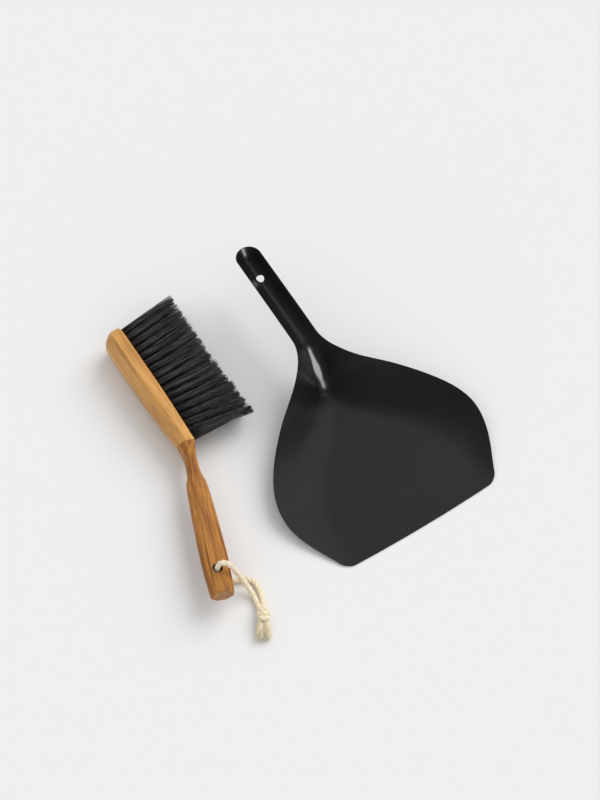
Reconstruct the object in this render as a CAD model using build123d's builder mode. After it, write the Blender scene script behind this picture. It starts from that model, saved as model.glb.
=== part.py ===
from build123d import *
import os
from math import cos, hypot, pi, radians, sin, tan

# Dust pan and brush set, in millimetres. The pan stands on its flat floor and is symmetric about the
# YZ plane, with its lip towards -Y and its handle towards +Y. The brush lies on its side at the pan's
# -X side, with its bristles towards the pan. The origin is the resting point under the pan's floor.

os.makedirs("parts", exist_ok=True)

# ---------------------------------------------------------------- pan: driving sizes
PAN_LENGTH = 306.0
PAN_WIDTH = 211.0
LIP_WIDTH = 160.0
LIP_BOW = 2.0  # how far the middle of the lip stands in front of its corners
LIP_CORNER_RADIUS = 8.0
LIP_TO_ORIGIN = 60.0
SHEET = 0.8
REST_STEP = 0.05  # the middle of the floor is pressed this much lower than the bends, and is truly flat
REST_SETBACKS = [8.0, 45.0, 108.0]  # where the resting area has its corners
REST_MARGIN = 2.0
SHOULDER_SETBACK = 68.0  # from the lip to the widest place
BACK_SETBACK = 140.0  # from the lip to the middle of the slanting back edge
BACK_WIDTH = 126.0
NECK_SETBACK = 200.0  # from the lip to where the handle's sides become straight
HANDLE_WIDTH = 24.6
GROOVE_FOOT = 161.5  # from the lip to where the centre groove leaves the floor
GROOVE_SLOPE = 1.27
GROOVE_TOP = 195.0  # from the lip to where the groove turns into the handle's channel
GROOVE_BEND = 5.0  # half the length of the bend at each end of the groove
HANDLE_RISE = 0.033
HANG_HOLE_DIAMETER = 8.0
HANG_HOLE_FROM_END = 31.5

# Sections across the pan: distance behind the lip, width of the slanting wall,
# half the width of the bend at the wall's foot, height of the rim's upper edge.
PAN_SECTIONS = [
    (0.0, 8.0, 7.0, 0.8),
    (30.0, 14.0, 13.0, 4.5),
    (55.0, 22.0, 20.0, 8.5),
    (78.0, 31.0, 24.0, 14.5),
    (111.0, 43.0, 22.0, 19.5),
    (140.0, 48.0, 13.0, 27.5),
    (160.0, 34.0, 6.0, 36.0),
    (180.0, 12.5, 4.5, 47.2),
    (200.0, 4.3, 4.0, 52.2),
    (290.0, 4.3, 4.0, 58.4),
]

# ---------------------------------------------------------------- brush: driving sizes
BRUSH_X = -136.6  # the edge that the head lies on
BRUSH_ROLL = 5.0  # degrees that the lying brush leans towards its bristles
HEAD_NOSE_Y = 251.0
HEAD_WIDTH = 36.0
HEAD_SIDE = 12.5  # thickness of the head's flat sides
HEAD_CROWN = 5.2  # how far the curved back stands behind the sides
HEAD_NOSE_RADIUS = 14.0
SEAM_Y = 114.0
SEAM_WIDTH = 24.0
SEAM_CROWN = 2.4
HANDLE_TURN = 19.3  # degrees that the handle bends away from the bristles
WAIST_FROM_SEAM = 16.3
WAIST_LENGTH = 14.1
WAIST_THICKNESS = 7.8
WAIST_GROWTH = 1.0  # how much thicker the waist is at its end
WAIST_WIDTH = 16.0
WAIST_BOW = 2.0
SEAM_FACE_CROWN = 0.4
BARREL_THICKNESS = 23.8
BARREL_WIDTH = 21.0
BARREL_CHAMFER = 6.5
BARREL_STATIONS = [  # distance from the seam, size as a share of the thickest place
    (38.0, 0.74),
    (80.0, 0.93),
    (116.0, 1.0),
    (151.0, 0.87),
]
NECK_LAP = 1.0  # how far the neck runs into the barrel
NECK_INSET = 2.5  # how far the neck's last section stays inside the barrel's first
BARREL_END_RADIUS = 2.0
CORD_HOLE_DIAMETER = 9.2
CORD_HOLE_FROM_END = 23.0
DOWEL_DIAMETER = 6.0
DOWEL_IN_HEAD = 5.5
DOWEL_IN_HANDLE = 13.0
GLUE_GAP = 0.05

TUFT_ROWS = ["left", "middle", "right"]
TUFTS_PER_ROW = 16
TUFT_PITCH = 8.0
ROW_PITCH = 10.0
TUFT_HOLE_DIAMETER = 5.0
TUFT_PLAY = 0.2
TUFT_DIAMETER = TUFT_HOLE_DIAMETER - TUFT_PLAY
TUFT_HOLE_DEPTH = 9.0
TUFT_FOOT_GAP = 0.4
FIRST_TUFT_FROM_SEAM = 9.6
TRIM_LENGTH = 60.0
TIP_PITCH = 8.88
TIP_ROW_PITCH = 9.5
TIP_SHIFT = 1.7  # the trimmed tips are centred this much further towards the nose than the holes
TIP_LIFT = 1.5  # the floor pushes the tips this much above the rows of holes
TUFT_GAP = 0.5
ANCHOR_THICKNESS = 0.4
ANCHOR_HEIGHT = 1.6
ANCHOR_PLAY = 0.1

# ---------------------------------------------------------------- hanging cord
CORD_DIAMETER = 5.0
# From the knot along the floor, up through the handle's hole, over the handle and back to the knot.
CORD_ROUTE = [
    (-163.6, -50.6, 5.0),
    (-160.4, -44.6, 2.9),
    (-157.6, -36.8, 2.7),
    (-156.2, -28.6, 2.8),
    (-158.0, -21.4, 2.7),
    (-163.8, -17.0, 2.8),
    (-171.0, -14.2, 2.7),
    (-178.2, -10.6, 3.0),
    (-183.6, -7.8, 6.2),
    (-184.6, -7.2, 13.5),
    (-183.4, -6.9, 28.5),
    (-182.4, -6.8, 36.5),
    (-179.4, -8.0, 41.8),
    (-174.9, -11.0, 40.8),
    (-172.0, -14.6, 34.0),
    (-169.3, -17.8, 24.4),
    (-166.8, -21.6, 14.4),
    (-164.9, -27.0, 6.8),
    (-164.3, -35.6, 3.2),
    (-165.6, -44.6, 3.4),
    (-167.4, -51.0, 5.6),
]
KNOT_CENTRE = (-167.0, -56.0, 6.6)
KNOT_TURN = 33.0  # degrees from -Y towards -X
KNOT_RADIUS = 6.4
KNOT_LENGTH = 14.0
TAIL_LENGTH = 16.0
TAIL_SPREAD = 9.0  # degrees that each tail leans away from the other
TAIL_START_RADIUS = 2.4
TAIL_END_RADIUS = 3.2
TAIL_GAP = 0.4
TAIL_FALL = 0.18  # how steeply the tails come down to the floor


def save(part, name):
    """Label a finished piece and write it to its own STEP file."""
    part.label = name
    export_step(part, f"parts/{name}.step")


# ================================================================ the pan
def ramp(distance, bend):
    """Zero before a fold and the distance past it after, with a parabola over the bend."""
    if distance <= -bend:
        return 0.0
    if distance >= bend:
        return distance
    return (distance + bend) ** 2 / (4 * bend)


def between_sections(setback, column):
    """A value of PAN_SECTIONS between two sections, on a smooth curve that never overshoots."""
    rows = PAN_SECTIONS
    if setback <= rows[0][0]:
        return rows[0][column]
    if setback >= rows[-1][0]:
        return rows[-1][column]
    steps = [(b[column] - a[column]) / (b[0] - a[0]) for a, b in zip(rows, rows[1:])]
    slopes = [steps[0]] + [0.0 if p * q <= 0 else 2 * p * q / (p + q) for p, q in zip(steps, steps[1:])]
    slopes.append(steps[-1])
    i = max(k for k in range(len(rows) - 1) if rows[k][0] <= setback)
    span = rows[i + 1][0] - rows[i][0]
    t = (setback - rows[i][0]) / span
    return (
        rows[i][column] * (1 + 2 * t) * (1 - t) ** 2
        + rows[i + 1][column] * t * t * (3 - 2 * t)
        + span * slopes[i] * t * (1 - t) ** 2
        - span * slopes[i + 1] * t * t * (1 - t)
    )


# Right side of the outline, seen from above: lip corner, shoulder, slanting back edge, neck.
with BuildLine() as side_line:
    Spline(
        (LIP_WIDTH / 2, LIP_BOW),
        (PAN_WIDTH / 2, SHOULDER_SETBACK),
        (BACK_WIDTH / 2, BACK_SETBACK),
        (HANDLE_WIDTH / 2, NECK_SETBACK),
        tangents=[(0.42, 0.91), (0, 1), (-0.72, 0.69), (0, 1)],
    )
SIDE_SAMPLES = [side_line.edge() @ (i / 400) for i in range(401)]


def half_width(setback):
    """Half the pan's width at a distance behind the lip."""
    if setback >= NECK_SETBACK:
        return HANDLE_WIDTH / 2
    before = SIDE_SAMPLES[0]
    for point in SIDE_SAMPLES[1:]:
        if point.Y >= setback:
            share = (setback - before.Y) / (point.Y - before.Y)
            return before.X + share * (point.X - before.X)
        before = point
    return before.X


def pan_height(x, setback):
    """Height of the sheet's underside: flat floor, bent-up walls, centre groove, closed channel."""
    centre = GROOVE_SLOPE * ramp(setback - GROOVE_FOOT, GROOVE_BEND)
    centre -= (GROOVE_SLOPE - HANDLE_RISE) * ramp(setback - GROOVE_TOP, GROOVE_BEND)
    half = half_width(setback)
    wall = between_sections(setback, 1)
    bend = between_sections(setback, 2)
    fold = max(half - wall, bend)
    past_end = max(0.0, setback - (PAN_LENGTH - HANDLE_WIDTH / 2))
    out = min(hypot(x, past_end), half + EDGE_MARGIN)
    rise = between_sections(setback, 3) - centre
    rise -= SHEET * hypot(1, rise / wall)
    return centre + rise * ramp(out - fold, bend) / ramp(half - fold, bend) + REST_STEP


EDGE_MARGIN = 2.0  # the sheet is pressed this much larger than the outline it is cut to
ROWS_ALONG = 90
ROWS_ACROSS = 48
pan_points = []
for i in range(ROWS_ALONG + 1):
    setback = -EDGE_MARGIN + (PAN_LENGTH + 2 * EDGE_MARGIN) * i / ROWS_ALONG
    reach = half_width(setback) + EDGE_MARGIN
    across = [reach * (1 - 2 * j / ROWS_ACROSS) for j in range(ROWS_ACROSS + 1)]
    pan_points.append([Vector(x, setback - LIP_TO_ORIGIN, pan_height(x, setback)) for x in across])
pan_surface = Face.make_surface_from_array_of_points(
    pan_points, tol=0.02, smoothing=(1, 1, 1), min_deg=3, max_deg=5
)

with BuildPart() as dust_pan:
    thicken(pan_surface, amount=SHEET)
    with BuildSketch(Plane((0, -LIP_TO_ORIGIN, 0))) as blank:
        with BuildLine():
            ThreePointArc((-LIP_WIDTH / 2, LIP_BOW), (0, 0), (LIP_WIDTH / 2, LIP_BOW))
            add(side_line.edge())
            straight_end = (HANDLE_WIDTH / 2, PAN_LENGTH - HANDLE_WIDTH / 2)
            Line((HANDLE_WIDTH / 2, NECK_SETBACK), straight_end)
            ThreePointArc(straight_end, (0, PAN_LENGTH), (-straight_end[0], straight_end[1]))
            Line((-straight_end[0], straight_end[1]), (-HANDLE_WIDTH / 2, NECK_SETBACK))
            add(side_line.edge().mirror(Plane.YZ))
        make_face()
        fillet(blank.vertices().group_by(Axis.Y)[0], LIP_CORNER_RADIUS)
    extrude(amount=PAN_LENGTH, mode=Mode.INTERSECT)
    with Locations((0, PAN_LENGTH - HANG_HOLE_FROM_END - LIP_TO_ORIGIN, PAN_LENGTH)):
        Hole(HANG_HOLE_DIAMETER / 2)
    corners = []
    for setback in REST_SETBACKS:
        bend_foot = half_width(setback) - between_sections(setback, 1) - between_sections(setback, 2)
        corners.append((bend_foot - REST_MARGIN, setback))
    with BuildSketch(Plane((0, -LIP_TO_ORIGIN, 0))) as resting_area:
        Polygon(*corners, *[(-x, setback) for x, setback in reversed(corners)], align=None)
    extrude(amount=SHEET / 2)
save(dust_pan.part, "dust_pan")


# ================================================================ the brush's frame
ROLL = radians(BRUSH_ROLL)
BRUSH = Plane((BRUSH_X, 0, 0), x_dir=(cos(ROLL), 0, -sin(ROLL)), z_dir=(sin(ROLL), 0, cos(ROLL)))
MIDDLE = HEAD_WIDTH / 2


def across_brush(x, y, z, turn=0.0):
    """A section plane that faces the end of the handle: x points to the bristles, y up."""
    a = radians(turn)
    return Plane(
        BRUSH.from_local_coords((x, y, z)),
        x_dir=BRUSH.x_dir * cos(a) - BRUSH.y_dir * sin(a),
        z_dir=BRUSH.x_dir * -sin(a) - BRUSH.y_dir * cos(a),
    )


def along_handle(distance, offset=0.0):
    """A section plane across the handle at a distance from the seam."""
    a = radians(HANDLE_TURN)
    x = SEAM_X - distance * sin(a) + offset * cos(a)
    y = SEAM_Y - distance * cos(a) - offset * sin(a)
    return across_brush(x, y, MIDDLE, HANDLE_TURN)


def bowed_section(plane, thickness, width, front_bow, back_bow):
    """A section with flat sides, and a face and a back that each bow out."""
    half, side = thickness / 2, width / 2
    with BuildSketch(plane) as section:
        with BuildLine():
            if front_bow:
                ThreePointArc((half, -side), (half + front_bow, 0), (half, side))
            else:
                Line((half, -side), (half, side))
            Line((half, side), (-half, side))
            ThreePointArc((-half, side), (-half - back_bow, 0), (-half, -side))
            Line((-half, -side), (half, -side))
        make_face()
    return section.sketch


def eight_sided(plane, scale):
    """A section of the handle's barrel: a rectangle with its four corners cut off."""
    with BuildSketch(plane) as section:
        Rectangle(BARREL_THICKNESS * scale, BARREL_WIDTH * scale)
        chamfer(section.vertices(), BARREL_CHAMFER * scale)
    return section.sketch


# ================================================================ the brush's head
SEAM_X = -HEAD_SIDE / 2
HEAD_SECTIONS = [  # y, width, crown of the back
    (HEAD_NOSE_Y, HEAD_WIDTH, HEAD_CROWN),
    (200.0, HEAD_WIDTH, HEAD_CROWN),
    (165.0, HEAD_WIDTH - 1.0, HEAD_CROWN - 0.3),
    (138.0, HEAD_WIDTH - 5.5, HEAD_CROWN - 1.2),
    (SEAM_Y - 6.0, SEAM_WIDTH, SEAM_CROWN),
]
FACE_PLANE = Plane(BRUSH.from_local_coords((0, 0, 0)), x_dir=BRUSH.y_dir, z_dir=BRUSH.x_dir)
TUFT_MIDDLE_Y = SEAM_Y + FIRST_TUFT_FROM_SEAM + TUFT_PITCH * (TUFTS_PER_ROW - 1) / 2


def tuft_places(pitch, row_pitch):
    """The middles of the tufts, row by row, as offsets along and across the head."""
    places = []
    for row in range(len(TUFT_ROWS)):
        across = (row - (len(TUFT_ROWS) - 1) / 2) * row_pitch
        places.append([((k - (TUFTS_PER_ROW - 1) / 2) * pitch, across) for k in range(TUFTS_PER_ROW)])
    return places


with BuildPart() as brush_head:
    for y, width, crown in HEAD_SECTIONS:
        add(bowed_section(across_brush(-HEAD_SIDE / 2, y, MIDDLE), HEAD_SIDE, width, 0, crown))
    loft()
    with BuildSketch(FACE_PLANE) as back_view:
        with Locations(((HEAD_NOSE_Y + SEAM_Y) / 2 - HEAD_WIDTH, MIDDLE)):
            RectangleRounded(HEAD_NOSE_Y - SEAM_Y + 2 * HEAD_WIDTH, HEAD_WIDTH, HEAD_NOSE_RADIUS)
    extrude(amount=HEAD_SIDE + HEAD_CROWN, both=True, mode=Mode.INTERSECT)
    split(bisect_by=along_handle(0), keep=Keep.BOTTOM)
    with BuildSketch(FACE_PLANE) as tuft_holes:
        for row in tuft_places(TUFT_PITCH, ROW_PITCH):
            with Locations([(TUFT_MIDDLE_Y + along, MIDDLE + up) for along, up in row]):
                Circle(TUFT_HOLE_DIAMETER / 2)
    extrude(amount=-TUFT_HOLE_DEPTH, mode=Mode.SUBTRACT)
    with BuildSketch(along_handle(0)) as dowel_hole:
        Circle(DOWEL_DIAMETER / 2 + GLUE_GAP)
    extrude(amount=-(DOWEL_IN_HEAD + GLUE_GAP), mode=Mode.SUBTRACT)
save(brush_head.part, "brush_head")

# ================================================================ the brush's handle
with BuildPart() as brush_handle:
    waist_end = WAIST_FROM_SEAM + WAIST_LENGTH
    shoulder, shoulder_scale = BARREL_STATIONS[0]
    neck_end_thickness = BARREL_THICKNESS * shoulder_scale - 2 * NECK_INSET
    neck_end_width = BARREL_WIDTH * shoulder_scale - 2 * NECK_INSET
    for distance, thickness, width, front, back in [
        (0, HEAD_SIDE, SEAM_WIDTH, SEAM_FACE_CROWN, SEAM_CROWN),
        (WAIST_FROM_SEAM, WAIST_THICKNESS, WAIST_WIDTH, WAIST_BOW, WAIST_BOW),
        (waist_end, WAIST_THICKNESS + WAIST_GROWTH, WAIST_WIDTH, WAIST_BOW, WAIST_BOW),
        (shoulder + NECK_LAP, neck_end_thickness, neck_end_width, WAIST_BOW, WAIST_BOW),
    ]:
        add(bowed_section(along_handle(distance), thickness, width, front, back))
    loft()
    for distance, scale in BARREL_STATIONS:
        add(eight_sided(along_handle(distance), scale))
    loft()
    end_face = brush_handle.faces().sort_by(Axis.Y)[0]
    fillet(end_face.edges(), BARREL_END_RADIUS)
    hole_plane = along_handle(BARREL_STATIONS[-1][0] - CORD_HOLE_FROM_END)
    with BuildSketch(Plane(hole_plane.origin, x_dir=hole_plane.x_dir, z_dir=BRUSH.z_dir)) as cord_hole:
        Circle(CORD_HOLE_DIAMETER / 2)
    extrude(amount=BARREL_WIDTH, both=True, mode=Mode.SUBTRACT)
    with BuildSketch(along_handle(0)) as dowel_socket:
        Circle(DOWEL_DIAMETER / 2 + GLUE_GAP)
    extrude(amount=DOWEL_IN_HANDLE + GLUE_GAP, mode=Mode.SUBTRACT)
save(brush_handle.part, "brush_handle")

with BuildPart() as handle_dowel:
    with BuildSketch(along_handle(-DOWEL_IN_HEAD)) as dowel_end:
        Circle(DOWEL_DIAMETER / 2)
    extrude(amount=DOWEL_IN_HEAD + DOWEL_IN_HANDLE)
save(handle_dowel.part, "handle_dowel")

# ================================================================ bristle tufts and their anchors
tuft_foot = TUFT_HOLE_DEPTH - TUFT_FOOT_GAP
anchor_middle = -TUFT_HOLE_DEPTH + 2 * ANCHOR_HEIGHT
tips = tuft_places(TIP_PITCH, TIP_ROW_PITCH)
for row_name, roots, row_tips in zip(TUFT_ROWS, tuft_places(TUFT_PITCH, ROW_PITCH), tips):
    for number, (root, tip) in enumerate(zip(roots, row_tips), start=1):
        root_place = (TUFT_MIDDLE_Y + root[0], MIDDLE + root[1])
        tip_place = (TUFT_MIDDLE_Y + TIP_SHIFT + tip[0], MIDDLE + TIP_LIFT + tip[1])
        with BuildPart() as tuft:
            with BuildSketch(FACE_PLANE) as root_section:
                with Locations(root_place):
                    Circle(TUFT_DIAMETER / 2)
            extrude(amount=-tuft_foot)
            with BuildSketch(FACE_PLANE) as fan_start:
                with Locations(root_place):
                    Circle(TUFT_DIAMETER / 2)
            with BuildSketch(FACE_PLANE.offset(TRIM_LENGTH)) as trimmed_end:
                with Locations(tip_place):
                    Ellipse((TIP_PITCH - TUFT_GAP) / 2, (TIP_ROW_PITCH - TUFT_GAP) / 2)
            loft()
            slot_plane = FACE_PLANE.offset(anchor_middle)
            with BuildSketch(slot_plane) as slot:
                with Locations(root_place):
                    Rectangle(TUFT_HOLE_DIAMETER, ANCHOR_THICKNESS + ANCHOR_PLAY)
            extrude(amount=ANCHOR_HEIGHT / 2 + ANCHOR_PLAY, both=True, mode=Mode.SUBTRACT)
        save(tuft.part, f"tuft_{row_name}_{number:02d}")

with BuildPart() as tuft_anchors:
    with BuildSketch(FACE_PLANE.offset(anchor_middle)) as wire_pieces:
        for row in tuft_places(TUFT_PITCH, ROW_PITCH):
            with Locations([(TUFT_MIDDLE_Y + along, MIDDLE + up) for along, up in row]):
                Rectangle(TUFT_DIAMETER, ANCHOR_THICKNESS)
    extrude(amount=ANCHOR_HEIGHT / 2, both=True)
save(tuft_anchors.part, "tuft_anchors")

# ================================================================ hanging cord, its knot and its tails
runs = [(Vector(*b) - Vector(*a)) for a, b in zip(CORD_ROUTE, CORD_ROUTE[1:])]
cord_radii = [
    0.45 * min(p.length, q.length) / tan(radians(p.get_angle(q)) / 2) for p, q in zip(runs, runs[1:])
]
print("cord radii:", [round(radius, 1) for radius in cord_radii])

with BuildPart() as hanging_cord:
    with BuildLine() as cord_line:
        FilletPolyline(*CORD_ROUTE, radius=cord_radii)
    with BuildSketch(Plane(cord_line.line @ 0, z_dir=cord_line.line % 0)):
        Circle(CORD_DIAMETER / 2)
    sweep()
cord_length = sum(edge.length for edge in cord_line.edges())
drawn = hanging_cord.part.volume / (pi * CORD_DIAMETER**2 / 4)
print(f"cord: {cord_length:.1f} mm long, {drawn:.1f} mm by its volume")
save(hanging_cord.part, "hanging_cord")

KNOT_AXIS = Vector(-sin(radians(KNOT_TURN)), -cos(radians(KNOT_TURN)), 0)
KNOT_PLANE = Plane(KNOT_CENTRE, x_dir=KNOT_AXIS, z_dir=(0, 0, 1))
with BuildPart() as cord_knot:
    with BuildSketch(KNOT_PLANE) as knot_section:
        with BuildLine():
            Line((-KNOT_LENGTH / 2, 0), (KNOT_LENGTH / 2, 0))
            Line((KNOT_LENGTH / 2, 0), (KNOT_LENGTH / 2, CORD_DIAMETER / 2))
            knot_end = (KNOT_LENGTH / 2, CORD_DIAMETER / 2)
            ThreePointArc(knot_end, (0, KNOT_RADIUS), (-KNOT_LENGTH / 2, CORD_DIAMETER / 2))
            Line((-KNOT_LENGTH / 2, CORD_DIAMETER / 2), (-KNOT_LENGTH / 2, 0))
        make_face()
    revolve(axis=Axis(KNOT_CENTRE, KNOT_AXIS))
save(cord_knot.part, "cord_knot")

# The two cut ends that stick out of the knot, side by side
tail_root = Vector(*KNOT_CENTRE) + KNOT_AXIS * (KNOT_LENGTH / 2)
tail_side = Vector(-KNOT_AXIS.Y, KNOT_AXIS.X, 0)
for number, side in enumerate((1, -1), start=1):
    lean = radians(TAIL_SPREAD) * side
    tail_axis = KNOT_AXIS * cos(lean) + tail_side * sin(lean) + Vector(0, 0, -TAIL_FALL)
    root = tail_root + tail_side * side * (TAIL_START_RADIUS + TAIL_GAP / 2)
    with BuildPart() as cord_tail:
        with BuildSketch(Plane(root, z_dir=KNOT_AXIS)):
            Circle(TAIL_START_RADIUS)
        with BuildSketch(Plane(root + tail_axis.normalized() * TAIL_LENGTH, z_dir=tail_axis)):
            Circle(TAIL_END_RADIUS)
        loft()
    save(cord_tail.part, f"cord_tail_{number}")
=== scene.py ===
import math
import random

import bmesh
import bpy
import numpy as np
from mathutils import Matrix, Vector


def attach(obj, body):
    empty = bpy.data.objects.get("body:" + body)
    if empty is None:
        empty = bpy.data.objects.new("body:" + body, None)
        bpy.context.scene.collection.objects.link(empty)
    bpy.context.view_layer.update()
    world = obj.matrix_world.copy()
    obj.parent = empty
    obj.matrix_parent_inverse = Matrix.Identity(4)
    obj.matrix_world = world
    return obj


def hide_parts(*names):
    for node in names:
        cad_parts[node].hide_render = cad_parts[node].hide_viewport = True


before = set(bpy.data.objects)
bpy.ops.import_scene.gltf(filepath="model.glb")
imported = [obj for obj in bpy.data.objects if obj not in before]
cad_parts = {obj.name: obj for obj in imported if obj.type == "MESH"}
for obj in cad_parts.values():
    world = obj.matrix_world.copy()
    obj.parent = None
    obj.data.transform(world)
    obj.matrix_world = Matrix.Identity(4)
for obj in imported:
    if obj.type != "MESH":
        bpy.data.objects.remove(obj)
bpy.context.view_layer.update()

MM = 0.001
GOLDEN_ANGLE = math.pi * (3 - math.sqrt(5))  # spreads points evenly over a round section
random.seed(7)


# ---------------------------------------------------------------- node materials
def new_material(name):
    """An empty node material and its shader."""
    material = bpy.data.materials.new(name)
    material.use_nodes = True
    shader = material.node_tree.nodes["Principled BSDF"]
    return material, material.node_tree, shader


def noise(tree, vector, scale, detail=4.0, roughness=0.5, distortion=0.0):
    """The value of a noise texture, with its features this many to a metre."""
    node = tree.nodes.new("ShaderNodeTexNoise")
    node.inputs["Scale"].default_value = scale
    node.inputs["Detail"].default_value = detail
    node.inputs["Roughness"].default_value = roughness
    node.inputs["Distortion"].default_value = distortion
    tree.links.new(vector, node.inputs["Vector"])
    return node.outputs["Fac"]


def ramp_colours(tree, factor, stops):
    """A colour ramp; stops are (position, (r, g, b))."""
    node = tree.nodes.new("ShaderNodeValToRGB")
    ramp = node.color_ramp
    while len(ramp.elements) < len(stops):
        ramp.elements.new(0.5)
    for element, (position, colour) in zip(ramp.elements, stops):
        element.position = position
        element.color = (*colour, 1)
    tree.links.new(factor, node.inputs["Fac"])
    return node.outputs["Color"]


def mix_colours(tree, factor, a, b, blend="MIX"):
    """Two colours mixed; each is a socket or (r, g, b), and factor is a socket or a number."""
    node = tree.nodes.new("ShaderNodeMix")
    node.data_type = "RGBA"
    node.blend_type = blend
    if isinstance(factor, float):
        node.inputs["Factor"].default_value = factor
    else:
        tree.links.new(factor, node.inputs["Factor"])
    for socket, value in ((node.inputs["A"], a), (node.inputs["B"], b)):
        if isinstance(value, tuple):
            socket.default_value = (*value, 1)
        else:
            tree.links.new(value, socket)
    return node.outputs["Result"]


def map_range(tree, value, low, high):
    """A value from 0 to 1 taken to the range from low to high."""
    node = tree.nodes.new("ShaderNodeMapRange")
    node.inputs["To Min"].default_value = low
    node.inputs["To Max"].default_value = high
    tree.links.new(value, node.inputs["Value"])
    return node.outputs["Result"]


def add_bump(tree, shader, heights):
    """Bump maps one after another; heights are (socket, distance in metres, strength)."""
    normal = None
    for height, distance, strength in heights:
        node = tree.nodes.new("ShaderNodeBump")
        node.inputs["Distance"].default_value = distance
        node.inputs["Strength"].default_value = strength
        tree.links.new(height, node.inputs["Height"])
        if normal:
            tree.links.new(normal, node.inputs["Normal"])
        normal = node.outputs["Normal"]
    tree.links.new(normal, shader.inputs["Normal"])


def object_coordinates(tree, scale=(1, 1, 1), turn=(0, 0, 0)):
    """The place on the object in metres, turned and then scaled along each axis."""
    coordinates = tree.nodes.new("ShaderNodeTexCoord")
    mapping = tree.nodes.new("ShaderNodeMapping")
    mapping.vector_type = "TEXTURE"
    mapping.inputs["Rotation"].default_value = turn
    tree.links.new(coordinates.outputs["Object"], mapping.inputs["Vector"])
    stretch = tree.nodes.new("ShaderNodeMapping")
    stretch.inputs["Scale"].default_value = scale
    tree.links.new(mapping.outputs["Vector"], stretch.inputs["Vector"])
    return stretch.outputs["Vector"]


def powder_coat():
    """Black satin powder coat: fine orange peel, uneven gloss and a few light rub marks."""
    material, tree, shader = new_material("powder_coat")
    place = object_coordinates(tree)
    cloud = noise(tree, place, 22, detail=3)
    grains = noise(tree, place, 2600, detail=2)
    rubs_place = object_coordinates(tree, (14, 160, 30), (0, 0, 0.5))
    rubs = noise(tree, rubs_place, 1.0, detail=5, roughness=0.65)
    blacks = [(0.3, (0.0062, 0.0062, 0.0064)), (0.75, (0.0088, 0.0088, 0.009))]
    base = ramp_colours(tree, cloud, blacks)
    rubbed = ramp_colours(tree, rubs, [(0.60, (0, 0, 0)), (0.82, (1, 1, 1))])
    colour = mix_colours(tree, rubbed, base, (0.0125, 0.0125, 0.013))
    tree.links.new(colour, shader.inputs["Base Color"])
    tree.links.new(map_range(tree, cloud, 0.30, 0.40), shader.inputs["Roughness"])
    shader.inputs["Specular IOR Level"].default_value = 0.36
    orange_peel = noise(tree, place, 320, detail=2)
    add_bump(tree, shader, [(grains, 0.00002, 0.35), (orange_peel, 0.00004, 0.25)])
    return material


def wood(name, turn, light, dark, streak, roughness, grain_scale=1.0):
    """Varnished wood with its grain along the local Y axis after the turn about Z."""
    material, tree, shader = new_material(name)
    bands_place = object_coordinates(tree, (110 * grain_scale, 7, 130 * grain_scale), (0, 0, turn))
    bands = noise(tree, bands_place, 1.0, detail=3, roughness=0.55, distortion=0.9)
    lines_place = object_coordinates(tree, (900, 16, 900), (0, 0, turn))
    lines = noise(tree, lines_place, 1.0, detail=4, roughness=0.7)
    pores_place = object_coordinates(tree, (2600, 110, 2600), (0, 0, turn))
    pores = noise(tree, pores_place, 1.0, detail=2)
    patches = noise(tree, object_coordinates(tree, (45, 22, 45), (0, 0, turn)), 1.0, detail=2)
    middle = tuple((a + b) / 2 for a, b in zip(light, dark))
    base = ramp_colours(tree, bands, [(0.28, dark), (0.5, middle), (0.72, light)])
    line_mask = ramp_colours(tree, lines, [(0.46, (0, 0, 0)), (0.72, (1, 1, 1))])
    base = mix_colours(tree, line_mask, base, streak)
    pore_mask = ramp_colours(tree, pores, [(0.60, (1, 1, 1)), (0.74, (0.72, 0.66, 0.6))])
    base = mix_colours(tree, 0.75, base, pore_mask, "MULTIPLY")
    shade = ramp_colours(tree, patches, [(0.3, (0.86, 0.84, 0.82)), (0.7, (1.08, 1.06, 1.04))])
    base = mix_colours(tree, 1.0, base, shade, "MULTIPLY")
    tree.links.new(base, shader.inputs["Base Color"])
    tree.links.new(map_range(tree, lines, roughness - 0.07, roughness + 0.1), shader.inputs["Roughness"])
    shader.inputs["Specular IOR Level"].default_value = 0.35
    shader.inputs["Coat Weight"].default_value = 0.05
    shader.inputs["Coat Roughness"].default_value = 0.35
    add_bump(tree, shader, [(lines, 0.00012, 0.35), (pores, 0.00005, 0.35)])
    return material


def hair():
    """Charcoal bristle hair, a little lighter in streaks."""
    material, tree, shader = new_material("bristle_hair")
    place = object_coordinates(tree, (60, 900, 900))
    streaks = noise(tree, place, 1.0, detail=2)
    colour = ramp_colours(tree, streaks, [(0.40, (0.006, 0.0058, 0.0056)), (0.64, (0.085, 0.083, 0.081))])
    tree.links.new(colour, shader.inputs["Base Color"])
    shader.inputs["Roughness"].default_value = 0.42
    shader.inputs["Specular IOR Level"].default_value = 0.55
    add_bump(tree, shader, [(streaks, 0.00002, 0.3)])
    return material


def cotton():
    """Undyed cotton yarn with fine fibres and small dark flecks."""
    material, tree, shader = new_material("cotton_yarn")
    fibres = noise(tree, object_coordinates(tree), 2300, detail=4, roughness=0.7)
    patches = noise(tree, object_coordinates(tree), 260, detail=2)
    base = ramp_colours(tree, patches, [(0.3, (0.94, 0.81, 0.58)), (0.7, (0.98, 0.92, 0.76))])
    fleck = ramp_colours(tree, fibres, [(0.40, (0.93, 0.87, 0.76)), (0.58, (1, 1, 1))])
    colour = mix_colours(tree, 1.0, base, fleck, "MULTIPLY")
    tree.links.new(colour, shader.inputs["Base Color"])
    shader.inputs["Roughness"].default_value = 0.85
    shader.inputs["Sheen Weight"].default_value = 0.4
    add_bump(tree, shader, [(fibres, 0.00015, 0.7)])
    return material


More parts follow.
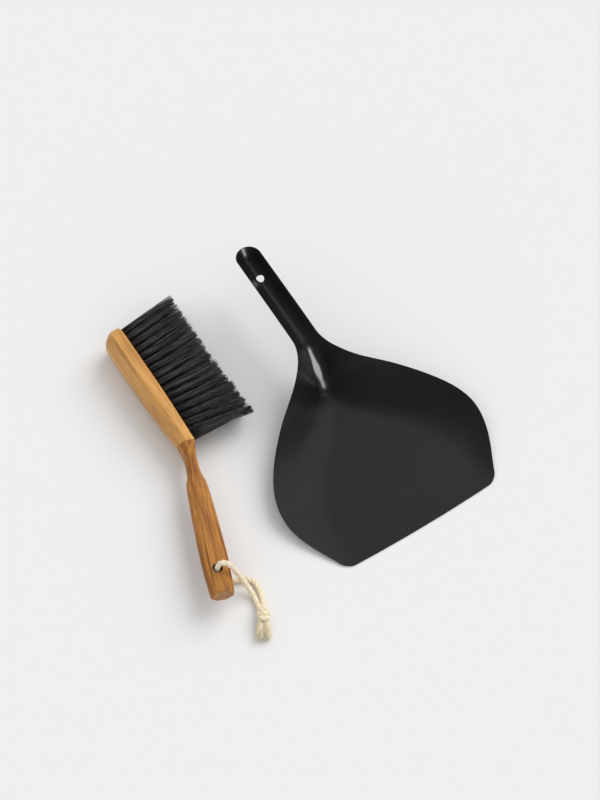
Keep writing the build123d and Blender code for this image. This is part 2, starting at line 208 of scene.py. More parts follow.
def wire():
    """Bright steel wire with a slightly uneven gloss."""
    material, tree, shader = new_material("anchor_wire")
    marks = noise(tree, object_coordinates(tree), 900)
    tree.links.new(map_range(tree, marks, 0.25, 0.4), shader.inputs["Roughness"])
    shader.inputs["Base Color"].default_value = (0.6, 0.6, 0.6, 1)
    shader.inputs["Metallic"].default_value = 1.0
    return material


# ---------------------------------------------------------------- mesh helpers
def mesh_object(name, verts, faces, material, body, slot):
    """A smooth-shaded mesh in the row frame, riding on a body, with its material; its slot is not used."""
    mesh = bpy.data.meshes.new(name)
    mesh.from_pydata([tuple(v) for v in verts], [], faces)
    bm = bmesh.new()
    bm.from_mesh(mesh)
    bmesh.ops.remove_doubles(bm, verts=bm.verts, dist=1e-7)
    bmesh.ops.recalc_face_normals(bm, faces=bm.faces)
    bm.to_mesh(mesh)
    bm.free()
    mesh.polygons.foreach_set("use_smooth", [True] * len(mesh.polygons))
    mesh.materials.append(material)
    piece = bpy.data.objects.new(name, mesh)
    bpy.context.collection.objects.link(piece)
    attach(piece, body)
    return piece


def keep_flats_flat(piece):
    """Weights the normals by face area, so that flat faces stay flat up to their rounded corners."""
    weighting = piece.modifiers.new("weighting", "WEIGHTED_NORMAL")
    weighting.mode = "FACE_AREA"
    weighting.keep_sharp = True


def bridge(rings):
    """Faces between rings of equal length, numbered one after another, with a face over each end."""
    count = len(rings[0])
    verts = [point for ring in rings for point in ring]
    faces = []
    for k in range(len(rings) - 1):
        for i in range(count):
            j = (i + 1) % count
            faces.append((k * count + i, k * count + j, (k + 1) * count + j, (k + 1) * count + i))
    faces.append(tuple(range(count - 1, -1, -1)))
    last = (len(rings) - 1) * count
    faces.append(tuple(range(last, last + count)))
    return verts, faces


def travelling_frames(path):
    """Tangents and two normals along a path, turning as little as they can."""
    points = [Vector(p) for p in path]
    last = len(points) - 1
    tangents = [(points[min(i + 1, last)] - points[max(i - 1, 0)]).normalized() for i in range(last + 1)]
    normal = tangents[0].orthogonal().normalized()
    frames = []
    for point, tangent in zip(points, tangents):
        normal = (normal - tangent * normal.dot(tangent)).normalized()
        frames.append((point, tangent, normal, tangent.cross(normal)))
    return frames


def tube(path, radii, sides):
    """Verts and faces of a closed tube along a path with a radius at each point."""
    rings = []
    for (point, _, a, b), radius in zip(travelling_frames(path), radii):
        turns = [2 * math.pi * k / sides for k in range(sides)]
        rings.append([point + (a * math.cos(t) + b * math.sin(t)) * radius for t in turns])
    return bridge(rings)


def joined(parts):
    """Several (verts, faces) as one."""
    verts, faces = [], []
    for part_verts, part_faces in parts:
        start = len(verts)
        verts.extend(part_verts)
        faces.extend(tuple(start + i for i in face) for face in part_faces)
    return verts, faces


# ---------------------------------------------------------------- the pan
PAN_LENGTH = 306.0
LIP_WIDTH = 160.0
LIP_BOW = 2.0
BOW_FADE = 60.0  # behind this setback the rows of points are straight
LIP_CORNER = 8.0
LIP_TO_ORIGIN = 60.0
SHEET = 0.8
HANDLE_WIDTH = 24.6
GROOVE_FOOT = 161.5
GROOVE_SLOPE = 1.27
GROOVE_TOP = 195.0
GROOVE_BEND = 5.0
HANDLE_RISE = 0.033
NECK_SETBACK = 200.0  # from here the handle's sides are straight
EDGE_RADIUS = 0.26
HOLE_SETBACK = 274.5
HOLE_RADIUS = 4.0
# The right rim seen from above: half width, setback, and the direction it runs in
PAN_SIDE = [
    ((LIP_WIDTH / 2, LIP_BOW), (0.42, 0.91)),
    ((105.5, 68.0), (0.0, 1.0)),
    ((63.0, 140.0), (-0.72, 0.69)),
    ((HANDLE_WIDTH / 2, NECK_SETBACK), (0.0, 1.0)),
]
# Setback, width of the slanting wall, half width of the bend at its foot, height of the rim
PAN_SECTIONS = [
    (0.0, 8.0, 7.0, 0.8),
    (30.0, 14.0, 13.0, 4.5),
    (55.0, 22.0, 20.0, 8.5),
    (78.0, 31.0, 24.0, 14.5),
    (111.0, 43.0, 22.0, 19.5),
    (140.0, 48.0, 13.0, 27.5),
    (160.0, 34.0, 6.0, 36.0),
    (180.0, 12.5, 4.5, 47.2),
    (200.0, 7.6, 4.6, 52.2),
    (290.0, 7.6, 4.6, 58.4),
]


def hermite(p, q, p_slope, q_slope, t):
    """A cubic from p to q with a slope at each end; t runs from 0 to 1."""
    return (
        p * (1 + 2 * t) * (1 - t) ** 2
        + q * t * t * (3 - 2 * t)
        + p_slope * t * (1 - t) ** 2
        - q_slope * t * t * (1 - t)
    )


def side_samples():
    """Points along the right rim, close together."""
    samples = []
    for (p, p_way), (q, q_way) in zip(PAN_SIDE, PAN_SIDE[1:]):
        chord = math.dist(p, q)
        for t in np.linspace(0, 1, 80, endpoint=False):
            samples.append([hermite(p[i], q[i], p_way[i] * chord, q_way[i] * chord, t) for i in (0, 1)])
    return np.array(samples)


RIM = side_samples()


def half_width(setback):
    """Half the pan's width at a distance behind the lip."""
    if setback >= NECK_SETBACK:
        return HANDLE_WIDTH / 2
    return float(np.interp(setback, RIM[:, 1], RIM[:, 0]))


def between(rows, place, column):
    """A value of a table between two of its rows, on a smooth curve that never overshoots."""
    if place <= rows[0][0]:
        return rows[0][column]
    if place >= rows[-1][0]:
        return rows[-1][column]
    steps = [(b[column] - a[column]) / (b[0] - a[0]) for a, b in zip(rows, rows[1:])]
    slopes = [steps[0]] + [0.0 if p * q <= 0 else 2 * p * q / (p + q) for p, q in zip(steps, steps[1:])]
    slopes.append(steps[-1])
    i = max(k for k in range(len(rows) - 1) if rows[k][0] <= place)
    span = rows[i + 1][0] - rows[i][0]
    t = (place - rows[i][0]) / span
    return hermite(rows[i][column], rows[i + 1][column], span * slopes[i], span * slopes[i + 1], t)


def fold_ramp(distance, bend):
    """Zero before a fold and the distance past it after, with a parabola over the bend."""
    if distance <= -bend:
        return 0.0
    return distance if distance >= bend else (distance + bend) ** 2 / (4 * bend)


def pan_height(x, setback):
    """Height of the sheet's underside in millimetres."""
    centre = GROOVE_SLOPE * fold_ramp(setback - GROOVE_FOOT, GROOVE_BEND)
    centre -= (GROOVE_SLOPE - HANDLE_RISE) * fold_ramp(setback - GROOVE_TOP, GROOVE_BEND)
    half = half_width(setback)
    wall = between(PAN_SECTIONS, setback, 1)
    bend = between(PAN_SECTIONS, setback, 2)
    fold = max(half - wall, bend)
    past_end = max(0.0, setback - (PAN_LENGTH - HANDLE_WIDTH / 2))
    out = min(math.hypot(x, past_end), half)
    rise = between(PAN_SECTIONS, setback, 3) - centre
    rise -= SHEET * math.hypot(1, rise / wall)
    return centre + rise * fold_ramp(out - fold, bend) / fold_ramp(half - fold, bend)


DENSE_FROM = 150  # behind this setback the rows stand closer, for the groove and the handle


def pan_rows():
    """Setbacks of the rows of points and the half width of each, close together at both ends."""
    rows = []
    for turn in np.linspace(0, math.pi / 2, 10):
        setback = LIP_CORNER * (1 - math.cos(turn))
        rows.append((setback, half_width(setback + LIP_BOW) - LIP_CORNER * (1 - math.sin(turn))))
    for setback in np.linspace(LIP_CORNER, DENSE_FROM, 72)[1:]:
        rows.append((setback, half_width(setback + LIP_BOW * max(0.0, 1 - setback / BOW_FADE))))
    straight_end = PAN_LENGTH - HANDLE_WIDTH / 2
    for setback in np.linspace(DENSE_FROM, straight_end, 150)[1:]:
        rows.append((setback, half_width(setback)))
    for turn in np.linspace(0, math.pi / 2, 18)[1:]:
        rows.append((straight_end + HANDLE_WIDTH / 2 * math.sin(turn), HANDLE_WIDTH / 2 * math.cos(turn)))
    return rows


PAN_COLUMNS = 96


def make_pan(material):
    """The bent sheet, with its hanging hole, its thickness and a rounded edge all round."""
    verts, faces = [], []
    rows = pan_rows()
    for setback, half in rows:
        for k in range(PAN_COLUMNS + 1):
            x = half * (2 * k / PAN_COLUMNS - 1)
            fade = max(0.0, 1 - setback / BOW_FADE)
            place = setback + LIP_BOW * (x / (LIP_WIDTH / 2)) ** 2 * fade
            verts.append((x, place, 0))
    width = PAN_COLUMNS + 1
    for r in range(len(rows) - 1):
        for k in range(PAN_COLUMNS):
            a = r * width + k
            faces.append((a, a + 1, a + 1 + width, a + width))
    bm = bmesh.new()
    points = [bm.verts.new(v) for v in verts]
    for face in faces:
        bm.faces.new([points[i] for i in face])
    middle = Vector((0, HOLE_SETBACK, 0))
    inside = [f for f in bm.faces if (f.calc_center_median() - middle).length < HOLE_RADIUS]
    bmesh.ops.delete(bm, geom=inside, context="FACES")
    for vert in bm.verts:
        away = vert.co - middle
        if vert.is_boundary and away.length < 2 * HOLE_RADIUS and abs(vert.co.x) < HOLE_RADIUS + 1:
            vert.co = middle + away.normalized() * HOLE_RADIUS
    for vert in bm.verts:
        x, setback = vert.co.x, vert.co.y
        vert.co = Vector((x, setback - LIP_TO_ORIGIN, pan_height(x, setback))) * MM
    bmesh.ops.remove_doubles(bm, verts=bm.verts, dist=1e-6)
    bmesh.ops.recalc_face_normals(bm, faces=bm.faces)
    bm.faces.ensure_lookup_table()
    if bm.faces[0].normal.z < 0:
        bmesh.ops.reverse_faces(bm, faces=bm.faces)
    mesh = bpy.data.meshes.new("pan_sheet")
    bm.to_mesh(mesh)
    bm.free()
    mesh.polygons.foreach_set("use_smooth", [True] * len(mesh.polygons))
    mesh.materials.append(material)
    pan = bpy.data.objects.new("pan_sheet", mesh)
    bpy.context.collection.objects.link(pan)
    thickness = pan.modifiers.new("thickness", "SOLIDIFY")
    thickness.thickness = SHEET * MM
    thickness.offset = 1.0
    thickness.use_even_offset = True
    edge = pan.modifiers.new("edge", "BEVEL")
    edge.width = EDGE_RADIUS * MM
    edge.segments = 3
    edge.limit_method = "ANGLE"
    edge.angle_limit = math.radians(50)
    edge.harden_normals = True
    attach(pan, "pan")
    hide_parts("dust_pan")


# ---------------------------------------------------------------- the brush's frame
BRUSH_X = -136.6
ROLL = math.radians(5.0)
HEAD_NOSE_Y = 251.0
HEAD_WIDTH = 36.0
HEAD_SIDE = 12.5
HEAD_CROWN = 5.2
SEAM_X = -HEAD_SIDE / 2
SEAM_Y = 114.0
MIDDLE = HEAD_WIDTH / 2
HANDLE_TURN = math.radians(19.3)
BRUSH = Matrix((
    (math.cos(ROLL), 0, math.sin(ROLL), BRUSH_X),
    (0, 1, 0, 0),
    (-math.sin(ROLL), 0, math.cos(ROLL), 0),
    (0, 0, 0, 1),
))


def brush_point(x, y, z):
    """From the brush's own frame in millimetres to the row frame in metres."""
    return (BRUSH @ Vector((x, y, z))) * MM


BOW_POINTS = (5, 11)  # the first and the last point of a section that lie on its bowed back


def section(front, back, low, high, front_cut, back_cut, bow, corner=0.7):
    """A closed section: flat sides, cut corners, a bowed back; every corner is rounded a little."""
    outline = [(front, low + front_cut), (front, high - front_cut), (front - front_cut, high)]
    outline += [(back + back_cut, high), (back, high - back_cut)]
    for k in range(1, 8):
        share = 1 - k / 4
        reach = (high - low) / 2 - back_cut
        outline.append((back - bow * (1 - share * share), (low + high) / 2 + share * reach))
    outline += [(back, low + back_cut), (back + back_cut, low), (front - front_cut, low)]
    points = []
    count = len(outline)
    for i, here in enumerate(outline):
        before, after = Vector(outline[i - 1]), Vector(outline[(i + 1) % count])
        here = Vector(here)
        if BOW_POINTS[0] <= i <= BOW_POINTS[1]:
            points.append(here)
            continue
        reach = min(corner, 0.45 * (before - here).length, 0.45 * (after - here).length)
        start = here + (before - here).normalized() * reach
        end = here + (after - here).normalized() * reach
        for t in (0, 0.25, 0.5, 0.75, 1):
            points.append(start * (1 - t) ** 2 + here * 2 * t * (1 - t) + end * t * t)
    return points


# y, width, crown of the back, cut between the side and the back
HEAD_SECTIONS = [
    (SEAM_Y, 24.4, 2.4, 4.6),
    (124.0, 26.8, 3.0, 4.4),
    (138.0, 30.5, 4.0, 3.6),
    (165.0, 35.0, 4.9, 2.0),
    (200.0, HEAD_WIDTH, HEAD_CROWN, 1.4),
    (HEAD_NOSE_Y, HEAD_WIDTH, HEAD_CROWN, 1.4),
]
NOSE_RADIUS = 14.0
NOSE_BACK_RADIUS = 11.0
SLANT_REACH = 24  # the sections turn from the slanted seam to square over this length
SEAM_NICK = 0.35  # the dark line at the seam: both edges there are rounded off by this much
NICK_MIDDLE = (0.15, 0.12)  # distance from the seam and inset half way round that edge


def quarter(distance, radius):
    """How far a round end has drawn in at a distance from the tip."""
    return 0.0 if distance >= radius else radius - math.sqrt(radius**2 - (radius - distance) ** 2)


def make_head(material):
    """The head: sections from the seam to the round nose, sheared so that the seam is slanted."""
    stations = [(SEAM_Y, SEAM_NICK), (SEAM_Y + NICK_MIDDLE[0], NICK_MIDDLE[1]), (SEAM_Y + SEAM_NICK, 0.0)]
    stations += [(y, 0.0) for y in np.linspace(SEAM_Y + 2, HEAD_NOSE_Y - NOSE_RADIUS, 52)]
    stations += [(HEAD_NOSE_Y - NOSE_RADIUS * math.cos(t), 0.0) for t in np.linspace(0, math.pi / 2, 22)[1:]]
    rings = []
    for y, inset in stations:
        tip = HEAD_NOSE_Y - y
        half = between(HEAD_SECTIONS, y, 1) / 2 - quarter(tip, NOSE_RADIUS) - inset
        crown = between(HEAD_SECTIONS, y, 2)
        cut = between(HEAD_SECTIONS, y, 3)
        back = -HEAD_SIDE + 0.8 * quarter(tip, NOSE_BACK_RADIUS) + inset
        crown *= max(0.25, 1 - quarter(tip, NOSE_RADIUS) / NOSE_RADIUS)
        front = -inset - 0.25 * quarter(tip, 5.0)
        points = section(front, back, MIDDLE - half, MIDDLE + half, 0.9, min(cut, 0.5 * half), crown)
        fade = max(0.0, 1 - (y - SEAM_Y) / SLANT_REACH) ** 1.5
        slope = math.tan(HANDLE_TURN) * fade
        rings.append([brush_point(p.x, y - (p.x - SEAM_X) * slope, p.y) for p in points])
    head = mesh_object("head_block", *bridge(rings), material, "brush", "light_wood")
    keep_flats_flat(head)
    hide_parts("brush_head")


# Distance from the seam, front, back, half width, cut corners, bow of the back
HANDLE_STATIONS = [
    (0.0, 6.6, -6.6, 12.2, 2.0, 4.6, 2.4),
    (7.0, 5.7, -5.9, 10.2, 3.2, 4.2, 1.6),
    (16.3, 5.4, -5.4, 8.2, 3.6, 3.6, 0.6),
    (28.0, 5.9, -5.9, 7.7, 3.4, 3.4, 0.3),
    (34.5, 7.2, -7.2, 7.5, 3.6, 3.6, 0.1),
    (38.5, 8.9, -8.9, 7.8, 4.8, 4.8, 0.05),
    (58.0, 10.2, -10.2, 9.0, 5.6, 5.6, 0.05),
    (80.0, 11.1, -11.1, 9.8, 6.1, 6.1, 0.05),
    (116.0, 11.9, -11.9, 10.5, 6.5, 6.5, 0.05),
    (151.0, 10.4, -10.4, 9.2, 5.7, 5.7, 0.05),
]
HANDLE_LENGTH = 151.0
HANDLE_END_RADIUS = 1.8
CORD_HOLE_RADIUS = 4.6
CORD_HOLE_PLACE = 128.0
DRILL_REACH = 20
HOLE_EDGE = 0.35


def handle_point(distance, u, v):
    """From the handle's own frame: distance from the seam, towards the bristles, upwards."""
    x = SEAM_X - distance * math.sin(HANDLE_TURN) + u * math.cos(HANDLE_TURN)
    y = SEAM_Y - distance * math.cos(HANDLE_TURN) - u * math.sin(HANDLE_TURN)
    return brush_point(x, y, MIDDLE + v)


def make_handle(material, hole_material):
    """The handle: sections from the seam to its rounded end, with the cord hole bored through."""
    stations = [(0.0, SEAM_NICK), NICK_MIDDLE, (SEAM_NICK, 0.0)]
    stations += [(d, 0.0) for d in np.linspace(1.5, HANDLE_LENGTH - HANDLE_END_RADIUS, 150)]
    for t in np.linspace(0, math.pi / 2, 8)[1:]:
        distance = HANDLE_LENGTH - HANDLE_END_RADIUS * (1 - math.sin(t))
        stations.append((distance, HANDLE_END_RADIUS * (1 - math.cos(t))))
    rings = []
    for distance, inset in stations:
        sizes = [between(HANDLE_STATIONS, distance, column) for column in range(1, 7)]
        front, back, half, front_cut, back_cut, bow = sizes
        cut_inset = 0.4 * inset
        points = section(
            front - inset, back + inset, -half + inset, half - inset,
            front_cut - cut_inset, back_cut - cut_inset, bow,
        )
        rings.append([handle_point(distance, p.x, p.y) for p in points])
    handle = mesh_object("handle_grip", *bridge(rings), material, "brush", "dark_wood")
    drill = []
    for height in (-DRILL_REACH, DRILL_REACH):
        ring = []
        for t in np.linspace(0, 2 * math.pi, 48, endpoint=False):
            distance = CORD_HOLE_PLACE + CORD_HOLE_RADIUS * math.cos(t)
            ring.append(handle_point(distance, CORD_HOLE_RADIUS * math.sin(t), height))
        drill.append(ring)
    mesh = bpy.data.meshes.new("drill")
    verts, faces = bridge(drill)
    mesh.from_pydata([tuple(v) for v in verts], [], faces)
    mesh.materials.append(hole_material)
    bm = bmesh.new()
    bm.from_mesh(mesh)
    bmesh.ops.recalc_face_normals(bm, faces=bm.faces)
    bm.to_mesh(mesh)
    bm.free()
    cutter = bpy.data.objects.new("drill", mesh)
    bpy.context.collection.objects.link(cutter)
    handle.data.materials.append(hole_material)
    cut = handle.modifiers.new("cord_hole", "BOOLEAN")
    cut.operation = "DIFFERENCE"
    cut.solver = "EXACT"
    cut.object = cutter
    soften = handle.modifiers.new("soften", "BEVEL")
    soften.width = HOLE_EDGE * MM
    soften.segments = 2
    soften.limit_method = "ANGLE"
    soften.angle_limit = math.radians(60)
    bpy.context.view_layer.update()
    depsgraph = bpy.context.evaluated_depsgraph_get()
    finished = bpy.data.meshes.new_from_object(handle.evaluated_get(depsgraph))
    handle.modifiers.clear()
    handle.data = finished
    bpy.data.objects.remove(cutter)
    keep_flats_flat(handle)
    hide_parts("brush_handle")


# ---------------------------------------------------------------- the bristles
TUFT_ROWS = ["left", "middle", "right"]
TUFTS_PER_ROW = 16
TUFT_PITCH = 8.0
ROW_PITCH = 10.0
TUFT_RADIUS = 2.4
FIRST_TUFT_FROM_SEAM = 9.6
TRIM_LENGTH = 60.0
TIP_PITCH = 8.88
TIP_ROW_PITCH = 9.5
TIP_SHIFT = 1.7
TIP_LIFT = 1.5
HAIRS_PER_TUFT = 74
HAIR_RADIUS = 0.27
SEAM_END_FAN = [0.88, 0.97, 1.07]  # how far each row's tips fan out at the seam's end, from the floor up
SEAM_END_EXTRA = 3.0  # how much longer the last tufts are there
HAIR_RINGS = 5
ROOT_DEPTH = 1.5  # how far the filaments are seen to reach into their hole
STRAY_SHARE = 0.05
ROUGH_TRIM = 1.6  # how unevenly the tips are cut


def one_hair(root, tip, sway, radius):
    """A three-sided filament that bends sideways a little on its way to the tip."""
    axis = (tip - root).normalized()
    side = axis.orthogonal().normalized()
    other = axis.cross(side)
    turn = random.uniform(0, 2 * math.pi)
    verts, faces = [], []
    for k in range(HAIR_RINGS):
        t = k / (HAIR_RINGS - 1)
        centre = root.lerp(tip, t) + sway * (t * t - t)
        thick = radius * (1 - 0.2 * t)
        for corner in range(3):
            a = turn + corner * 2 * math.pi / 3
            verts.append(centre + (side * math.cos(a) + other * math.sin(a)) * thick)
    for k in range(HAIR_RINGS - 1):
        for i in range(3):
            j = (i + 1) % 3
            faces.append((3 * k + i, 3 * k + j, 3 * k + 3 + j, 3 * k + 3 + i))
    faces.append((2, 1, 0))
    last = 3 * (HAIR_RINGS - 1)
    faces.append((last, last + 1, last + 2))
    return verts, faces


def tuft_hairs(along, across, tip_along, tip_across, trim):
    """Filaments of one tuft, fanned from its hole to its trimmed end."""
    hairs = []
    lean = random.uniform(-0.6, 0.6)
    cut = random.uniform(-0.8, 0.8)
    for k in range(HAIRS_PER_TUFT):
        share = math.sqrt((k + 0.5) / HAIRS_PER_TUFT)
        turn = k * GOLDEN_ANGLE
        dy, dz = share * math.cos(turn), share * math.sin(turn)
        root = Vector((-ROOT_DEPTH, along + TUFT_RADIUS * dy, across + TUFT_RADIUS * dz))
        spread = 1 + random.uniform(-0.08, 0.1)
        stray = random.random() < STRAY_SHARE
        loose = 1.6 if stray else 0.45
        short = abs(random.gauss(0, ROUGH_TRIM)) + ROUGH_TRIM * share * share
        short += random.uniform(0, 5) if stray else 0
        tip = Vector((
            trim + cut - short,
            tip_along + lean + TIP_PITCH * 0.5 * dy * spread + random.gauss(0, loose),
            tip_across + TIP_ROW_PITCH * 0.5 * dz * spread + random.gauss(0, 0.35),
        ))
        tip.z = max(tip.z, tip.x * math.tan(ROLL) + 0.3)
        sway = Vector((0, random.gauss(0, 0.9), random.gauss(0, 0.8)))
        if tip.z + sway.z > 0.9 * HEAD_WIDTH:
            sway.z = 0
        hairs.append(one_hair(root, tip, sway, HAIR_RADIUS * random.uniform(0.75, 1.2)))
    return hairs


def make_bristles(material):
    """Three pieces, one for each row of tufts, made of single filaments."""
    middle_y = SEAM_Y + FIRST_TUFT_FROM_SEAM + TUFT_PITCH * (TUFTS_PER_ROW - 1) / 2
    for row, row_name in enumerate(TUFT_ROWS):
        hairs = []
        nodes = []
        for k in range(TUFTS_PER_ROW):
            offset = k - (TUFTS_PER_ROW - 1) / 2
            fan = SEAM_END_FAN[row] if offset < 0 else 1.0
            near_seam = max(0.0, -offset / (TUFTS_PER_ROW / 2)) ** 2
            hairs += tuft_hairs(
                middle_y + offset * TUFT_PITCH,
                MIDDLE + (row - 1) * ROW_PITCH,
                middle_y + TIP_SHIFT + offset * TIP_PITCH * fan,
                MIDDLE + TIP_LIFT + (row - 1) * TIP_ROW_PITCH,
                TRIM_LENGTH + SEAM_END_EXTRA * near_seam,
            )
            nodes.append(f"tuft_{row_name}_{k + 1:02d}")
        verts, faces = joined(hairs)
        verts = [brush_point(*v) for v in verts]
        mesh = bpy.data.meshes.new(f"bristles_{row_name}")
        mesh.from_pydata([tuple(v) for v in verts], [], faces)
        mesh.polygons.foreach_set("use_smooth", [True] * len(mesh.polygons))
        mesh.materials.append(material)
        piece = bpy.data.objects.new(f"bristles_{row_name}", mesh)
        bpy.context.collection.objects.link(piece)
        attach(piece, "brush")
        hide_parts(*nodes)


# ---------------------------------------------------------------- the hanging cord
CORD_DIAMETER = 0.005
CORD_ROUTE = [
    (-0.1636, -0.0506, 0.0050),
    (-0.1604, -0.0446, 0.0029),
    (-0.1576, -0.0368, 0.0027),
    (-0.1562, -0.0286, 0.0028),
    (-0.1580, -0.0214, 0.0027),
    (-0.1638, -0.0170, 0.0028),
    (-0.1710, -0.0142, 0.0027),
    (-0.1782, -0.0106, 0.0030),
    (-0.1836, -0.0078, 0.0062),
    (-0.1846, -0.0072, 0.0135),
    (-0.1834, -0.0069, 0.0285),
    (-0.1824, -0.0068, 0.0365),
    (-0.1794, -0.0080, 0.0418),
    (-0.1749, -0.0110, 0.0408),
    (-0.1720, -0.0146, 0.0340),
    (-0.1693, -0.0178, 0.0244),
    (-0.1668, -0.0216, 0.0144),
    (-0.1649, -0.0270, 0.0068),
    (-0.1643, -0.0356, 0.0032),
    (-0.1656, -0.0446, 0.0034),
    (-0.1674, -0.0510, 0.0056),
]
STRANDS = 3
STRAND_SHARE = 0.27  # a strand's radius as a share of the cord's diameter
LAY_LENGTH = 0.013  # one full twist of the strands
FUZZ_COUNT = 260
FUZZ_REACH = 0.0022
KNOT_CENTRE = Vector((-0.1670, -0.0560, 0.0066))
KNOT_TURN = math.radians(33.0)
KNOT_AXIS = Vector((-math.sin(KNOT_TURN), -math.cos(KNOT_TURN), 0))
WRAP_TURNS = 2.35
WRAP_POINTS = 90
WRAP_START = 0.6  # the angle at which the wrap begins
WRAP_RADIUS = 0.0043
WRAP_TAPER = 0.0007
WRAP_LENGTH = 0.0096
WRAP_SLANT = 0.0011
CORE_REACH = 0.0066
CORE_RADII = [0.0028, 0.0038, 0.0044, 0.0046, 0.0046, 0.0046, 0.0044, 0.0038, 0.0028]
TAIL_LENGTH = 0.017
TAIL_SPREAD = math.radians(4.0)
TAIL_FALL = 0.18  # how steeply the tails come down to the floor
TAIL_FROM_KNOT = 0.0056
TAIL_APART = 0.0023  # from the knot's axis to the middle of each tail
TAIL_TWIST = 1.1
TAIL_YARNS = 90
YARN_RADII = [0.0003, 0.0003, 0.00028, 0.00026, 0.00024, 0.0002, 0.00012]  # from the knot to the tip
ABOVE_FLOOR = 0.0004


def spline_points(route, name):
    """Points close together along the NURBS spline that has these control points."""
    curve = bpy.data.curves.new(name, "CURVE")
    curve.dimensions = "3D"
    curve.resolution_u = 20
    spline = curve.splines.new("NURBS")
    spline.points.add(len(route) - 1)
    for point, place in zip(spline.points, route):
        point.co = (*place, 1)
    spline.order_u = 3
    spline.use_endpoint_u = True
    line = bpy.data.objects.new(name, curve)
    bpy.context.collection.objects.link(line)
    bpy.context.view_layer.update()
    depsgraph = bpy.context.evaluated_depsgraph_get()
    mesh = bpy.data.meshes.new_from_object(line.evaluated_get(depsgraph))
    points = [v.co.copy() for v in mesh.vertices]
    bpy.data.objects.remove(line)
    bpy.data.meshes.remove(mesh)
    return points


def twisted(path, diameter, sides=8):
    """Three strands laid round each other along a path."""
    strand = STRAND_SHARE * diameter
    offset = 0.5 * diameter - strand
    frames = travelling_frames(path)
    travelled = [0.0]
    for a, b in zip(path, path[1:]):
        travelled.append(travelled[-1] + (Vector(b) - Vector(a)).length)
    parts = []
    for k in range(STRANDS):
        line = []
        for (point, _, a, b), distance in zip(frames, travelled):
            turn = 2 * math.pi * (distance / LAY_LENGTH + k / STRANDS)
            line.append(point + (a * math.cos(turn) + b * math.sin(turn)) * offset)
        parts.append(tube(line, [strand] * len(line), sides))
    return joined(parts)


def fuzz(path, diameter, count, reach):
    """Short loose fibres that stand out of a cord."""
    frames = travelling_frames(path)
    parts = []
    for _ in range(count):
        point, tangent, a, b = frames[random.randrange(1, len(frames) - 1)]
        turn = random.uniform(0, 2 * math.pi)
        out = a * math.cos(turn) + b * math.sin(turn)
        root = point + out * diameter * 0.42
        way = (out * random.uniform(0.2, 0.9) + tangent * random.uniform(-1, 1)).normalized()
        tip = root + way * reach * random.uniform(0.4, 1)
        if tip.z > 0.0003:
            middle = (root + tip) / 2 + out * reach * 0.12
            parts.append(tube([root, middle, tip], [0.00007, 0.00006, 0.00004], 3))
    return joined(parts)


def make_cord(material):
    """The twisted cord along its route, and the short fibres that stand out of it."""
    path = spline_points(CORD_ROUTE, "cord_line")
    verts, faces = twisted(path, CORD_DIAMETER)
    cord = mesh_object("hanging_cord_yarn", verts, faces, material, "brush", "cord_cotton")
    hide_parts("hanging_cord")
    loose = fuzz(path, CORD_DIAMETER, FUZZ_COUNT, FUZZ_REACH)
    fibres = mesh_object("cord_fuzz", *loose, material, "brush", "cord_cotton")
    return cord, fibres, path


def make_knot(material):
    """The overhand knot as it looks from outside: turns of cord drawn tight round a core."""
    side = Vector((-KNOT_AXIS.y, KNOT_AXIS.x, 0))
    up = Vector((0, 0, 1))
    wrap = []
    for t in [k / (WRAP_POINTS - 1) for k in range(WRAP_POINTS)]:
        angle = 2 * math.pi * WRAP_TURNS * t + WRAP_START
        radius = WRAP_RADIUS - WRAP_TAPER * abs(2 * t - 1)
        along = (t - 0.5) * WRAP_LENGTH + WRAP_SLANT * math.sin(angle + 0.8)
        spoke = side * math.cos(angle) + up * math.sin(angle)
        wrap.append(KNOT_CENTRE + KNOT_AXIS * along + spoke * radius)
    wrapped = twisted(wrap, CORD_DIAMETER)
    core = [KNOT_CENTRE + KNOT_AXIS * s for s in np.linspace(-CORE_REACH, CORE_REACH, len(CORE_RADII))]
    verts, faces = joined([wrapped, tube(core, CORE_RADII, 16)])
    knot = mesh_object("overhand_knot", verts, faces, material, "brush", "cord_cotton")
    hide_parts("cord_knot")
    return knot


def make_tail(number, material):
    """A cut cord end: strands that open into loose yarn."""
    sign = 1 if number == 1 else -1
    side = Vector((-KNOT_AXIS.y, KNOT_AXIS.x, 0))
    lean = TAIL_SPREAD * sign
    fall = Vector((0, 0, -TAIL_FALL))
    axis = (KNOT_AXIS * math.cos(lean) + side * math.sin(lean) + fall).normalized()
    root = KNOT_CENTRE + KNOT_AXIS * TAIL_FROM_KNOT + side * sign * TAIL_APART
    across = axis.orthogonal().normalized()
    other = axis.cross(across)
    parts = []
    for k in range(TAIL_YARNS):
        share = math.sqrt((k + 0.5) / TAIL_YARNS)
        turn = k * GOLDEN_ANGLE
        length = TAIL_LENGTH * random.uniform(0.68, 1.1)
        line = []
        for t in np.linspace(0, 1, len(YARN_RADII)):
            bend = turn + TAIL_TWIST * t
            spoke = across * math.cos(bend) + other * math.sin(bend)
            radius = share * (0.0026 + 0.0017 * t) + 0.0004 * math.sin(5 * t + k)
            place = root + axis * (length * t) + spoke * radius
            place.z = max(place.z, ABOVE_FLOOR)
            line.append(place)
        parts.append(tube(line, YARN_RADII, 4))
    tail = mesh_object(f"frayed_tail_{number}", *joined(parts), material, "brush", "cord_cotton")
    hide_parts(f"cord_tail_{number}")
    return tail


# ---------------------------------------------------------------- floor, light, camera
KEY_SOURCE = (0.72, 0.16, 0.68)
WORLD_STRENGTH = 0.22
